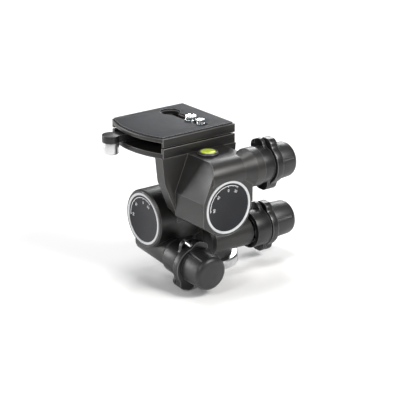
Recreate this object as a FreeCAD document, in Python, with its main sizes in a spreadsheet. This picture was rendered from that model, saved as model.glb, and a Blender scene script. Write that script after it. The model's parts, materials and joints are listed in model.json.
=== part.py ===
import FreeCAD, Part
import Sketcher
import math
import os
import re
from FreeCAD import Placement, Rotation, Vector

# Geared three-way tripod head. The origin is the centre of the base's underside, on the pan
# axis, with +Z up. The pan drive points along +X, the tilt drive points along -Y and slopes
# down, the roll drive points along +X under the camera plate. Every drive is the same unit: a
# single-start worm that runs in an eccentric sleeve and turns a 48-tooth wheel.

SIZES = [
    ("base_radius", 30), ("base_height", 8), ("base_edge", 1),
    ("hub_radius", 13), ("hub_top", 15), ("tripod_thread", 4.7625), ("tripod_thread_depth", 9),
    ("washer_thick", 1), ("spindle_radius", 9), ("spindle_foot", 12), ("spindle_top", 41),
    ("spindle_flange", 11.5), ("pan_radius", 25), ("pan_cavity", 21.5), ("pan_cavity_top", 36),
    ("pan_cover_thick", 3), ("pan_bush_radius", 12), ("running_gap", 0.05), ("free_gap", 0.4),
    ("tilt_axis_height", 51), ("casing_radius", 24.5), ("casing_end", 19), ("joint_gap", 0.5),
    ("joint_face", -19.5), ("dial_face", -61), ("casing_edge", 1.2),
    ("shaft_radius", 7), ("shaft_flange", 9), ("bush_wall", 2.5), ("bush_length", 6),
    ("dial_radius", 21.7), ("dial_gap", 0.3), ("dial_thick", 1.8), ("dial_rim", 2.6),
    ("dial_rim_rise", 0.5), ("dial_hub", 8.5), ("wheel_cavity", 22), ("cavity_depth", 23),
    ("nut_radius", 10.5), ("nut_thick", 3.5), ("cap_radius", 16), ("cap_thick", 2),
    ("roll_axis_x", -30), ("roll_axis_height", 75.5), ("roll_face", -73), ("lug_radius", 13),
    ("lug_front", -25), ("lug_back", -14), ("lug_foot_half", 15),
    ("web_front", -35.5), ("web_back", -25.5), ("web_top_half", 37), ("web_knee_half", 34.7),
    ("web_knee_height", 91.6), ("web_tip_height", 66.5), ("web_right_height", 74),
    ("cheek_height", 63), ("cheek_foot_x", -44.5), ("cheek_foot_height", 55.7),
    ("shelf_height", 112.6), ("facet_height", 82.5), ("facet_top_half", 11.5),
    ("worm_centre", 23.2), ("worm_pitch_radius", 4.8), ("teeth", 48), ("addendum", 0.8),
    ("flank_angle", 20), ("flank_gap", 0.3), ("root_gap", 0.3), ("worm_turns", 4),
    ("wheel_width", 8), ("worm_shaft", 3.5), ("offset_throw", 2.2), ("mesh_angle", 60),
    ("sleeve_radius", 9.6), ("sleeve_bore", 5.95), ("sleeve_back", -12.5),
    ("sleeve_step", -9), ("journal_radius", 6.6), ("journal_bore", 3.9), ("rear_pin", 2.7),
    ("window_start", -8.6), ("window_end", 12.7), ("window_depth", 1.8), ("window_turn", 25),
    ("barrel_radius", 12.6), ("barrel_back", -15.5), ("barrel_front", 28), ("barrel_edge", 2.5), ("rest_plate", 39.8), ("rest_thick", 3),
    ("rest_spring_bore", 12.4), ("ear_reach", 21.3), ("ear_half", 8), ("ear_corner", 6),
    ("ear_blend", 5), ("wing_start", 43.6), ("wing_thick", 6.5), ("wing_radius", 17),
    ("knob_start", 50.6), ("knob_radius", 15.4), ("knob_end_radius", 14.6), ("knob_wall", 5),
    ("pan_knob_length", 23.4), ("tilt_knob_length", 22.6), ("roll_knob_length", 19.5),
    ("knob_dome", 2.5), ("knob_edge", 2.2), ("groove_half", 0.9), ("groove_depth", 1.3),
    ("groove_length", 14), ("pin_radius", 1.75), ("pin_circle", 19.6),
    ("spring_wire", 0.5), ("spring_start", 29), ("spring_radius", 11.2), ("spring_pitch", 1.7), ("spring_turns", 2.5),
    ("pan_worm_height", 30.3), ("pan_rest_start", 28.5), ("pan_rest_radius", 16),
    ("tilt_worm_x", -44), ("tilt_worm_slope", 6), ("tilt_reach", 1.8), ("tilt_rest_start", 28.5),
    ("tilt_rest_radius", 14.5), ("tilt_ear_lean", 19),
    ("roll_worm_y", -59.6), ("roll_reach", 2.4), ("roll_rest_start", 34.6),
    ("roll_rest_radius", 15), ("roll_flare_start", 17), ("roll_flare_end", 27),
    ("roll_flare_radius", 16), ("ear_spread", 22), ("pin_spread", 31),
    ("plate_half_x", 36), ("plate_half_y", 35.5), ("plate_bulge", 8.5), ("plate_corner", 2),
    ("tray_floor", 117), ("tray_wall", 3), ("tray_wall_top", 120.6), ("ledge_half", 28.5),
    ("ledge_top", 125.6), ("ledge_left", -56), ("skirt_bottom", 121.6), ("skirt_thick", 2.5),
    ("plate_top", 128.8), ("pad_top", 130), ("pad_inset", 1.5),
    ("slot_x", -18.5), ("slot_half", 3.3), ("slot_near", -24), ("slot_far", 20), ("key_radius", 7.5),
    ("large_thread", 4.7625), ("small_thread", 3.175), ("large_neck", 3), ("small_neck", 2.5),
    ("large_head", 6.8), ("small_head", 6), ("head_bottom", 122), ("head_thick", 3.2),
    ("screw_top", 133.5), ("large_screw_y", -8.2), ("small_screw_y", -21.4),
    ("lever_pivot_x", -6), ("lever_pin_radius", 3), ("lever_hub", 7.5), ("lever_bottom", 117.5),
    ("lever_thin", 3.4), ("lever_handle_bottom", 118), ("lever_handle_top", 124),
    ("lever_half", 5), ("lever_tip", 77.5), ("lever_tip_radius", 7.2), ("lever_angle", 170),
    ("lever_step", 59), ("plunger_radius", 6.7), ("plunger_bottom", 108), ("plunger_gap", 0.2),
    ("plunger_stem", 2.2),
    ("level_y", -46.5), ("level_cup", 8.5), ("level_cup_top", 115.3), ("level_vial", 6.35),
    ("level_seat", 113), ("level_vial_top", 116), ("tip_bevel", 0.6), ("coin_slot", 1.4),
    ("plunger_round", 1),
]
NAMES = dict(SIZES)

doc = FreeCAD.newDocument("geared_head")
sheet = doc.addObject("Spreadsheet::Sheet", "size")
for row, (name, number) in enumerate(SIZES, 1):
    sheet.set("A%d" % row, name)
    sheet.set("B%d" % row, str(number))
    sheet.setAlias("B%d" % row, name)
doc.recompute()

X, Y, Z = Vector(1, 0, 0), Vector(0, 1, 0), Vector(0, 0, 1)
TURN = {"x": Rotation(Y, 90), "y": Rotation(X, -90), "z": Rotation()}
PLANE = {"xy": (Rotation(), Z), "xz": (Rotation(X, 90), Y * -1), "yz": (Rotation(Vector(1, 1, 1), 120), X)}
NODES = {}


def value(name):
    return float(sheet.get(name))


def rule(text):
    """Text with each size's name made a reference to its cell."""
    return re.sub(r"[a-z_]+", lambda m: "size." + m.group() if m.group() in NAMES else m.group(), text)


def set_place(thing, at, turn=None):
    thing.Placement = Placement(Vector(), turn or Rotation())
    for letter, text in zip("xyz", at):
        thing.setExpression(".Placement.Base." + letter, rule(text))


def make(kind, name, at, turn=None, **sizes):
    thing = doc.addObject("Part::" + kind, name)
    for side, text in sizes.items():
        thing.setExpression(side, rule(text))
    set_place(thing, at, turn)
    return thing


def along(axis, start, a, b):
    return {"x": (start, a, b), "y": (a, start, b), "z": (a, b, start)}[axis]


def rod(name, axis, radius, start, end, a="0", b="0"):
    height = "(%s) - (%s)" % (end, start)
    return make("Cylinder", name, along(axis, start, a, b), TURN[axis], Radius=radius, Height=height)


def taper(name, axis, first, last, start, end, a="0", b="0"):
    height = "(%s) - (%s)" % (end, start)
    at = along(axis, start, a, b)
    return make("Cone", name, at, TURN[axis], Radius1=first, Radius2=last, Height=height)


def box(name, low, high):
    spans = ["(%s) - (%s)" % pair for pair in zip(high, low)]
    return make("Box", name, low, Length=spans[0], Width=spans[1], Height=spans[2])


def join(name, *pieces):
    thing = doc.addObject("Part::MultiFuse", name)
    thing.Shapes = list(pieces)
    thing.Refine = True
    return thing


def cut(name, base, *tools):
    thing = doc.addObject("Part::Cut", name)
    thing.Base = base
    thing.Tool = tools[0] if len(tools) == 1 else join(name + "_tools", *tools)
    thing.Refine = True
    return thing


def overlap(name, first, second):
    thing = doc.addObject("Part::Common", name)
    thing.Base = first
    thing.Tool = second
    return thing


def group(name, *pieces):
    thing = doc.addObject("Part::Compound", name)
    thing.Links = list(pieces)
    return thing


def ring(name, axis, outer, inner, start, end, a="0", b="0"):
    body = rod(name + "_outside", axis, outer, start, end, a, b)
    return cut(name, body, rod(name + "_bore", axis, inner, start, end, a, b))


def outline(name, plane, offset, corners):
    """A closed outline of straight sides, whose corners are tied to the sizes."""
    sketch = doc.addObject("Sketcher::SketchObject", name)
    turn, normal = PLANE[plane]
    spot = {"xy": ("0", "0", offset), "xz": ("0", offset, "0"), "yz": (offset, "0", "0")}[plane]
    set_place(sketch, spot, turn)
    add_corners(sketch, corners)
    return sketch


def add_corners(sketch, corners):
    count = len(corners)
    angles = [2 * math.pi * i / count for i in range(count + 1)]
    points = [Vector(math.cos(a), math.sin(a), 0) for a in angles]
    for i in range(count):
        sketch.addGeometry(Part.LineSegment(points[i], points[i + 1]), False)
    for i in range(count):
        sketch.addConstraint(sketch_link(i, (i + 1) % count))
    for i, corner in enumerate(corners):
        for kind, text in zip(("DistanceX", "DistanceY"), corner):
            index = sketch.addConstraint(sketch_distance(kind, i))
            sketch.setExpression("Constraints[%d]" % index, rule(text))


def sketch_link(first, second):
    return Sketcher.Constraint("Coincident", first, 2, second, 1)


def sketch_distance(kind, line):
    return Sketcher.Constraint(kind, -1, 1, line, 1, 1.0)


def prism(name, plane, corners, start, end):
    """A straight-sided outline given thickness from start to end along its plane's axis."""
    sketch = outline(name + "_outline", plane, start, corners)
    thing = doc.addObject("Part::Extrusion", name)
    thing.Base = sketch
    thing.DirMode = "Custom"
    thing.Dir = {"xy": Z, "xz": Y, "yz": X}[plane]
    thing.setExpression("LengthFwd", rule("(%s) - (%s)" % (end, start)))
    thing.Solid = True
    return thing


def soften(name, base, size, wanted, kind="Fillet"):
    """Rounds, or bevels, the wanted edges of a piece."""
    base.recompute(True)
    thing = doc.addObject("Part::" + kind, name)
    thing.Base = base
    depth = value(size)
    edges = [(i, edge) for i, edge in enumerate(base.Shape.Edges, 1) if not edge.Degenerated]
    thing.Edges = [(i, depth, depth) for i, edge in edges if wanted(edge)]
    return thing


def round_edge(axis, place, radius):
    """Picks the circular edges of one radius that lie square to an axis at one place."""
    def wanted(edge):
        curve = edge.Curve
        if not isinstance(curve, Part.Circle) or abs(curve.Radius - radius) > 0.01:
            return False
        return abs(getattr(edge.CenterOfMass, axis) - place) < 0.05
    return wanted


def round_rim(edge):
    return isinstance(edge.Curve, Part.Circle)


def straight_edge(axis):
    """Picks the straight edges that run along an axis."""
    direction = {"x": X, "y": Y, "z": Z}[axis]
    def wanted(edge):
        if not isinstance(edge.Curve, Part.Line):
            return False
        return abs(abs(edge.tangentAt(edge.FirstParameter).dot(direction)) - 1) < 1e-6
    return wanted


def keep(label, thing, place=None):
    """Names a finished piece, and sets it in its drive's frame if it belongs to one."""
    if place is not None:
        thing = group(label + "_placed", thing)
        thing.Placement = place
    thing.Label = label
    NODES[label] = thing
    return thing


# The frame of a drive: its origin is the point of the worm's axis nearest the wheel's axis, its
# z runs out to the knob, its x points at the wheel and its y runs along the wheel's axis.
def pan_frame():
    turn = Rotation(Y, Z, X, "XYZ")
    return Placement(Vector(0, -value("worm_centre"), value("pan_worm_height")), turn)


def tilt_frame():
    slope = math.radians(value("tilt_worm_slope"))
    outward = Vector(0, -math.cos(slope), -math.sin(slope))
    inward = Vector(0, -math.sin(slope), math.cos(slope))
    axis = Vector(value("tilt_worm_x"), 0, value("tilt_axis_height"))
    return Placement(axis - inward * value("worm_centre"), Rotation(inward, X * -1, outward, "XYZ"))


def roll_frame():
    height = value("roll_axis_height") + value("worm_centre")
    spot = Vector(value("roll_axis_x"), value("roll_worm_y"), height)
    return Placement(spot, Rotation(Z * -1, Y, X, "XYZ"))


# Each drive: its frame, the side its sleeve is offset to, the way its ears point, and how much
# further out its wing and knob sit than on the pan drive.
DRIVES = {
    "pan": (pan_frame(), 1, 90, "0"),
    "tilt": (tilt_frame(), -1, -value("tilt_ear_lean"), "tilt_reach"),
    "roll": (roll_frame(), 1, 180, "roll_reach"),
}


def sleeve_centre(side):
    """Where a drive's sleeve and wing have their axis, off the worm's."""
    away = "-offset_throw * cos(mesh_angle)"
    across = "%d * offset_throw * sin(mesh_angle)" % -side
    return away, across


def worm_wheel(label, bore, place):
    """A wheel whose teeth slant by the worm's lead angle."""
    body = doc.addObject("PartDesign::Body", label + "_body")
    planes = {item.Role: item for item in body.Origin.OriginFeatures}
    blank = body.newObject("Sketcher::SketchObject", label + "_blank")
    blank.AttachmentSupport = (planes["XY_Plane"], [""])
    blank.MapMode = "FlatFace"
    blank.setExpression(".AttachmentOffset.Base.z", rule("-wheel_width / 2"))
    root = "worm_centre - worm_pitch_radius - addendum - root_gap"
    for i, radius in enumerate((root, bore)):
        blank.addGeometry(Part.Circle(Vector(0, 0, 0), Z, 10 - i), False)
        blank.addConstraint(Sketcher.Constraint("Coincident", i, 3, -1, 1))
        index = blank.addConstraint(Sketcher.Constraint("Radius", i, 10 - i))
        blank.setExpression("Constraints[%d]" % index, rule(radius))
    disc = body.newObject("PartDesign::Pad", label + "_disc")
    disc.Profile = blank
    disc.setExpression("Length", rule("wheel_width"))

    pitch_radius = "(worm_centre - worm_pitch_radius)"
    half = "(pi * %s / teeth / 2 - flank_gap / 2)" % pitch_radius
    slope = "tan(flank_angle)"
    inner = root + " - root_gap"
    low = "(%s + %s * (addendum + 2 * root_gap))" % (half, slope)
    high = "(%s - %s * addendum)" % (half, slope)
    tip = pitch_radius + " + addendum"
    tooth = body.newObject("Sketcher::SketchObject", label + "_tooth_outline")
    tooth.AttachmentSupport = (planes["XY_Plane"], [""])
    tooth.MapMode = "FlatFace"
    slant = pitch_radius + " / teeth / worm_pitch_radius"
    tooth.setExpression(".AttachmentOffset.Base.z", rule("-wheel_width / 2"))
    tooth.setExpression(".AttachmentOffset.Base.y", rule("-wheel_width / 2 * " + slant))
    add_corners(tooth, [(inner, "-" + low), (tip, "-" + high), (tip, high), (inner, low)])
    pad = body.newObject("PartDesign::Pad", label + "_tooth")
    pad.Profile = tooth
    pad.UseCustomVector = True
    ratio = (value("worm_centre") - value("worm_pitch_radius")) / value("teeth")
    pad.Direction = Vector(0, ratio / value("worm_pitch_radius"), 1)
    pad.AlongSketchNormal = True
    pad.setExpression("Length", rule("wheel_width"))
    pattern = body.newObject("PartDesign::PolarPattern", label + "_teeth")
    pattern.Originals = [pad]
    pattern.Axis = (planes["Z_Axis"], [""])
    pattern.Angle = 360
    pattern.Occurrences = int(value("teeth"))
    body.Tip = pattern
    half_pitch = 180 / value("teeth")
    local = Placement(Vector(value("worm_centre"), 0, 0), Rotation(X, -90))
    body.Placement = place * local * Placement(Vector(), Rotation(Z, half_pitch))
    return keep(label, body)


def worm(label, place, knob_end):
    """Worm, shaft and thread in one piece, ending inside the knob."""
    lead = "(2 * pi * (worm_centre - worm_pitch_radius) / teeth)"
    root = "(worm_pitch_radius - addendum - root_gap)"
    start = "-worm_turns / 2 * %s" % lead
    helix = make("Helix", label + "_helix", ("0", "0", start), Pitch=lead, Radius=root,
                 Height="worm_turns * " + lead)
    half = "(%s / 4 - flank_gap / 2)" % lead
    low = "(%s + tan(flank_angle) * (addendum + root_gap))" % half
    high = "(%s - tan(flank_angle) * addendum)" % half
    tip = "worm_pitch_radius + addendum"
    inner = "%s - root_gap" % root
    sides = [(inner, "%s - %s" % (start, low)), (tip, "%s - %s" % (start, high)),
             (tip, "%s + %s" % (start, high)), (inner, "%s + %s" % (start, low))]
    section = outline(label + "_section", "xz", "0", sides)
    thread = doc.addObject("Part::Sweep", label + "_thread")
    thread.Sections = [section]
    thread.Spine = (helix, [])
    thread.Solid = True
    thread.Frenet = True
    core = rod(label + "_core", "z", root, "window_start + free_gap", "-window_start")
    shaft = rod(label + "_shaft", "z", "worm_shaft", "0", knob_end + " - knob_wall")
    pin = rod(label + "_rear_pin", "z", "rear_pin", "sleeve_back", "0")
    return keep(label, join(label + "_piece", thread, core, shaft, pin), place)


def sleeve(label, place, side, reach):
    """Eccentric sleeve: bored off centre for the worm, and open towards the wheel."""
    a, b = sleeve_centre(side)
    front = "wing_start + wing_thick + " + reach
    body = rod(label + "_outside", "z", "sleeve_radius", "sleeve_step", front, a, b)
    journal = rod(label + "_journal", "z", "journal_radius", "sleeve_back", "sleeve_step + 1", a, b)
    bore = rod(label + "_bore", "z", "sleeve_bore", "window_start", front)
    rear = rod(label + "_rear", "z", "journal_bore", "sleeve_back", "window_start")
    angle = -side * value("window_turn")
    window = make("Box", label + "_window", (a, b, "sleeve_step"), Rotation(Z, angle), Length="sleeve_radius * 2",
                  Width="sleeve_radius * 2", Height="window_end - sleeve_step")
    ahead, across = Rotation(Z, angle).multVec(X), Rotation(Z, angle).multVec(Y)
    for letter, centre in zip("xy", (a, b)):
        shift = "%s + window_depth * %.6f - sleeve_radius * %.6f"
        shift = shift % (centre, getattr(ahead, letter), getattr(across, letter))
        window.setExpression(".Placement.Base." + letter, rule(shift))
    whole = join(label + "_whole", body, journal)
    return keep(label, cut(label + "_piece", whole, bore, rear, window), place)


def bushes(label, place, reach):
    """Two bronze bushes that carry the worm's shaft in its sleeve."""
    front = "wing_start + wing_thick + " + reach
    rear = ring(label + "_rear", "z", "journal_bore", "rear_pin + running_gap", "sleeve_back", "window_start")
    fore = ring(label + "_fore", "z", "sleeve_bore", "worm_shaft + running_gap",
                front + " - bush_length", front)
    return keep(label, group(label + "_pair", rear, fore), place)


def ears(name, radius, start, end, side, spread):
    """A round plate with two finger ears, each at its own angle; ears are rounded bars."""
    a, b = sleeve_centre(side)
    disc = rod(name + "_disc", "z", radius, start, end, a, b)
    bars = []
    for number, (angle, reach) in enumerate(spread):
        bar = make("Box", "%s_ear%d" % (name, number), (a, b, start), Rotation(Z, angle),
                   Length=reach, Width="2 * ear_half", Height="(%s) - (%s)" % (end, start))
        offset = Rotation(Z, angle).multVec(Vector(0, -1, 0))
        bar.setExpression(".Placement.Base.x", rule("%s + ear_half * %.6f" % (a, offset.x)))
        bar.setExpression(".Placement.Base.y", rule("%s + ear_half * %.6f" % (b, offset.y)))
        rounded = soften("%s_ear%d_round" % (name, number), bar, "ear_corner", outer_corner(bar, angle))
        bars.append(rounded)
    return join(name, disc, *bars)


def outer_corner(bar, angle):
    """Picks the two long corners at the far end of an ear."""
    bar.recompute(True)
    direction = Rotation(Z, angle).multVec(X)
    far = max(vertex.Point.dot(direction) for vertex in bar.Shape.Vertexes)
    upright = straight_edge("z")
    return lambda edge: upright(edge) and abs(edge.CenterOfMass.dot(direction) - far) < 0.01


def blend(name, base):
    """Rounds the inner corners where ears leave their disc."""
    base.recompute(True)
    upright = straight_edge("z")
    def wanted(edge):
        if not upright(edge):
            return False
        faces = base.Shape.ancestorsOfType(edge, Part.Face)
        flat = sum(isinstance(face.Surface, Part.Plane) for face in faces)
        return flat == 1 and len(faces) == 2 and abs(edge_turn(edge, faces)) > 0.2
    return soften(name, base, "ear_blend", wanted)


def edge_turn(edge, faces):
    middle = edge.CenterOfMass
    normals = []
    for face in faces:
        u, v = face.Surface.parameter(middle)
        normals.append(face.normalAt(u, v))
    return normals[0].getAngle(normals[1])


def wing(label, place, side, reach, angle):
    """Butterfly ring that turns the sleeve and lifts the worm out of mesh."""
    start = "wing_start + " + reach
    end = "wing_start + wing_thick + " + reach
    a, b = sleeve_centre(side)
    plate = ears(label + "_plate", "wing_radius", start, end, side,
                 [(angle, "ear_reach"), (angle + 180, "ear_reach")])
    smooth = blend(label + "_smooth", plate)
    bore = rod(label + "_bore", "z", "sleeve_radius", start, end, a, b)
    return keep(label, cut(label + "_piece", smooth, bore), place)


def finger_rest(label, place, side, reach, angle, start, radius):
    """Collar with two fixed ears at the end of the barrel, hollow for the wing's spring."""
    a, b = sleeve_centre(side)
    plate_start = "rest_plate + " + reach
    plate_end = "rest_plate + rest_thick + " + reach
    plate = ears(label + "_plate", radius, plate_start, plate_end, side,
                 [(angle - side * value("ear_spread"), "ear_reach"), (angle + 180, "ear_reach")])
    smooth = blend(label + "_smooth", plate)
    collar = rod(label + "_collar", "z", radius, start, plate_start, a, b)
    whole = join(label + "_whole", smooth, collar)
    bore = rod(label + "_bore", "z", "sleeve_radius + running_gap", start, plate_end, a, b)
    nest = rod(label + "_nest", "z", "rest_spring_bore", start, plate_start, a, b)
    pin_a, pin_b = pin_spot(side, angle)
    hole = rod(label + "_pin_hole", "z", "pin_radius", plate_start, plate_end, pin_a, pin_b)
    return keep(label, cut(label + "_piece", whole, bore, nest, hole), place)


def pin_spot(side, angle):
    a, b = sleeve_centre(side)
    turn = math.radians(angle - side * value("pin_spread"))
    return ("%s + pin_circle * %.6f" % (a, math.cos(turn)), "%s + pin_circle * %.6f" % (b, math.sin(turn)))


def stop_pin(label, place, side, reach, angle):
    """Steel pin in the finger rest that the sprung wing rests against."""
    a, b = pin_spot(side, angle)
    start = "rest_plate + " + reach
    end = "wing_start + wing_thick - pin_radius / 2 + " + reach
    stem = rod(label + "_stem", "z", "pin_radius", start, end, a, b)
    tip = taper(label + "_tip", "z", "pin_radius", "pin_radius / 2", end, end + " + pin_radius / 2", a, b)
    return keep(label, join(label + "_piece", stem, tip), place)


def wing_spring(label, place, side):
    """Flat-wire torsion spring round the sleeve, inside the finger rest's collar."""
    a, b = sleeve_centre(side)
    coil = make("Helix", label + "_coil", (a, b, "spring_start"), Pitch="spring_pitch",
                Radius="spring_radius", Height="spring_pitch * spring_turns")
    near, far = a + " + spring_radius - spring_wire", a + " + spring_radius + spring_wire"
    low, high = "spring_start - spring_wire", "spring_start + spring_wire"
    section = outline(label + "_wire", "xz", b, [(near, low), (far, low), (far, high), (near, high)])
    loop = doc.addObject("Part::Sweep", label + "_loop")
    loop.Sections = [section]
    loop.Spine = (coil, [])
    loop.Solid = True
    loop.Frenet = True
    return keep(label, loop, place)


def knob(label, place, start, end):
    """Domed rubber knob with four tapered grooves, fixed on the worm's shaft."""
    shoulder = end + " - knob_dome"
    body = taper(label + "_body", "z", "knob_radius", "knob_end_radius", start, shoulder)
    dome_radius = "((knob_end_radius * knob_end_radius + knob_dome * knob_dome) / 2 / knob_dome)"
    ball = make("Sphere", label + "_ball", ("0", "0", "%s - %s" % (end, dome_radius)), Radius=dome_radius)
    cap = rod(label + "_cap", "z", "knob_end_radius", shoulder, end)
    whole = join(label + "_whole", body, overlap(label + "_dome", ball, cap))
    rim = soften(label + "_rim", whole, "knob_edge", widest_end("z", value("knob_end_radius")), "Chamfer")
    grooves = []
    for quarter in range(4):
        turn = Rotation(Z, 90 * quarter + 45) * Rotation(X, 90)
        grooves.append(make("Wedge", "%s_groove%d" % (label, quarter), ("0", "0", start), turn,
                            Xmin="knob_radius - groove_depth", Xmax="knob_radius * 2",
                            X2min="knob_radius", X2max="knob_radius * 2",
                            Ymin="-groove_half", Ymax="groove_length",
                            Zmin="-groove_half", Zmax="groove_half",
                            Z2min="-groove_half / 2", Z2max="groove_half / 2"))
    bore = rod(label + "_bore", "z", "worm_shaft", start, end + " - knob_wall")
    return keep(label, cut(label + "_piece", rim, bore, *grooves), place)


def widest_end(axis, radius):
    """Picks the circular edges of one radius, wherever they lie along their axis."""
    def wanted(edge):
        return isinstance(edge.Curve, Part.Circle) and abs(edge.Curve.Radius - radius) < 0.01
    return wanted


def drive(name):
    place, side, angle, reach = DRIVES[name]
    knob_start = "knob_start + " + reach
    knob_end = "%s + %s_knob_length" % (knob_start, name)
    worm(name + "_worm", place, knob_end)
    sleeve(name + "_sleeve", place, side, reach)
    bushes(name + "_worm_bushes", place, reach)
    wing(name + "_wing", place, side, reach, angle)
    finger_rest(name + "_finger_rest", place, side, reach, angle, name + "_rest_start", name + "_rest_radius")
    stop_pin(name + "_stop_pin", place, side, reach, angle)
    wing_spring(name + "_wing_spring", place, side)
    knob(name + "_knob", place, knob_start, knob_end)


def barrel(name, side, end):
    """The outside and the stepped bore of a drive's barrel, in the drive's own frame."""
    a, b = sleeve_centre(side)
    outside = rod(name + "_outside", "z", "barrel_radius", "barrel_back", end, a, b)
    wide = rod(name + "_wide", "z", "sleeve_radius + running_gap", "sleeve_step - free_gap", end + " + 1", a, b)
    rear = rod(name + "_rear", "z", "journal_radius + running_gap", "sleeve_back - free_gap", "sleeve_step", a, b)
    return outside, join(name + "_bore", wide, rear)


def in_frame(name, place, thing):
    """A piece modelled in a drive's frame, set where that drive is."""
    placed = group(name, thing)
    placed.Placement = place
    return placed


def base_disc():
    foot = rod("base_foot", "z", "base_radius", "0", "base_height")
    rim = soften("base_rim", foot, "base_edge", round_rim, "Chamfer")
    hub = rod("base_hub", "z", "hub_radius", "base_height / 2", "hub_top")
    thread = rod("base_thread", "z", "tripod_thread", "0", "tripod_thread_depth")
    seat = rod("base_seat", "z", "spindle_radius", "spindle_foot", "hub_top")
    keep("base_disc", cut("base_disc_piece", join("base_whole", rim, hub), thread, seat))


def pan_column():
    """The washer, spindle, wheel and lock nut that stand on the base and don't turn."""
    top = "base_height + washer_thick"
    keep("pan_thrust_washer", ring("pan_washer", "z", "pan_radius - 1.5", "hub_radius", "base_height", top))
    wheel_bottom = "pan_worm_height - wheel_width / 2"
    stem = rod("spindle_stem", "z", "spindle_radius", "spindle_foot", "spindle_top - nut_thick")
    neck = rod("spindle_neck", "z", "shaft_radius", "spindle_foot", "spindle_top")
    shoulder = rod("spindle_shoulder", "z", "spindle_flange", "hub_top", wheel_bottom)
    keep("pan_spindle", join("spindle_piece", stem, neck, shoulder))
    worm_wheel("pan_wheel", "spindle_radius", DRIVES["pan"][0])


def pan_housing():
    place, side = DRIVES["pan"][:2]
    floor = "base_height + washer_thick"
    tower = rod("pan_tower", "z", "pan_radius", floor, "tilt_axis_height")
    clear = box("pan_clear", ("-pan_radius * 2", "-pan_radius * 2", "tilt_axis_height - casing_radius - 2"),
                ("joint_face", "pan_radius * 2", "tilt_axis_height * 2"))
    right = box("pan_clear_right", ("casing_end", "-pan_radius * 2", "tilt_axis_height - casing_radius + 6"),
                ("pan_radius * 2", "pan_radius * 2", "tilt_axis_height * 2"))
    column = cut("pan_column", tower, clear, right)
    boss = rod("pan_boss", "x", "casing_radius", "joint_face", "casing_end", "0", "tilt_axis_height")
    end = round_edge("x", value("casing_end"), value("casing_radius"))
    boss_edge = soften("pan_boss_edge", boss, "casing_edge", end, "Chamfer")
    outside, bore = barrel("pan_barrel", side, "barrel_front")
    outside = soften("pan_barrel_edge", outside, "barrel_edge", round_rim, "Chamfer")
    cavity = rod("pan_cavity_space", "z", "pan_cavity", floor, "pan_cavity_top")
    bush_seat = rod("pan_bush_seat", "z", "spindle_radius + running_gap", floor, "spindle_top + 1")
    shaft_seat = rod("pan_shaft_seat", "x", "shaft_radius", "joint_face", "casing_end - 4", "0",
                     "tilt_axis_height")
    whole = join("pan_whole", column, boss_edge, in_frame("pan_barrel_set", place, outside))
    piece = cut("pan_housing_piece", whole, cavity, bush_seat, shaft_seat,
                in_frame("pan_bore_set", place, bore))
    keep("pan_housing", piece)
    keep("pan_cover", ring("pan_cover_piece", "z", "pan_cavity", "spindle_flange + 2 + free_gap", floor,
                           floor + " + pan_cover_thick"))
    keep("pan_boss_cap", taper("pan_cap", "x", "cap_radius", "cap_radius - 1", "casing_end",
                               "casing_end + cap_thick", "0", "tilt_axis_height"))


def tilt_shaft():
    """Steel shaft fixed in the pan housing, with the wheel, nut and dial that it carries."""
    height = "tilt_axis_height"
    wheel_right = "tilt_worm_x + wheel_width / 2"
    stem = rod("tilt_stem", "x", "shaft_radius", "dial_face + dial_thick", "casing_end - 4", "0", height)
    collar = rod("tilt_collar", "x", "shaft_flange", wheel_right, wheel_right + " + 1.5", "0", height)
    keep("tilt_shaft", join("tilt_shaft_piece", stem, collar))
    worm_wheel("tilt_wheel", "shaft_radius", DRIVES["tilt"][0])
    wheel_left = "tilt_worm_x - wheel_width / 2"
    keep("tilt_nut", ring("tilt_nut_piece", "x", "nut_radius", "shaft_radius", wheel_left + " - nut_thick",
                          wheel_left, "0", height))


def dial(label, axis, face, a, b):
    """Scale disc with a raised rim and a hub that sits on its shaft."""
    radius = "dial_radius"
    back = "%s + dial_thick" % face
    disc = rod(label + "_disc", axis, radius, face, back, a, b)
    rim_start = "%s - dial_rim_rise" % face
    rim = ring(label + "_rim", axis, radius, radius + " - dial_rim", rim_start, back, a, b)
    hub = rod(label + "_hub", axis, "dial_hub", back, back + " + 1.5", a, b)
    bore = rod(label + "_bore", axis, "shaft_radius", back, back + " + 1.5", a, b)
    keep(label, join(label + "_piece", disc, rim, cut(label + "_collar", hub, bore)))


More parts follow.
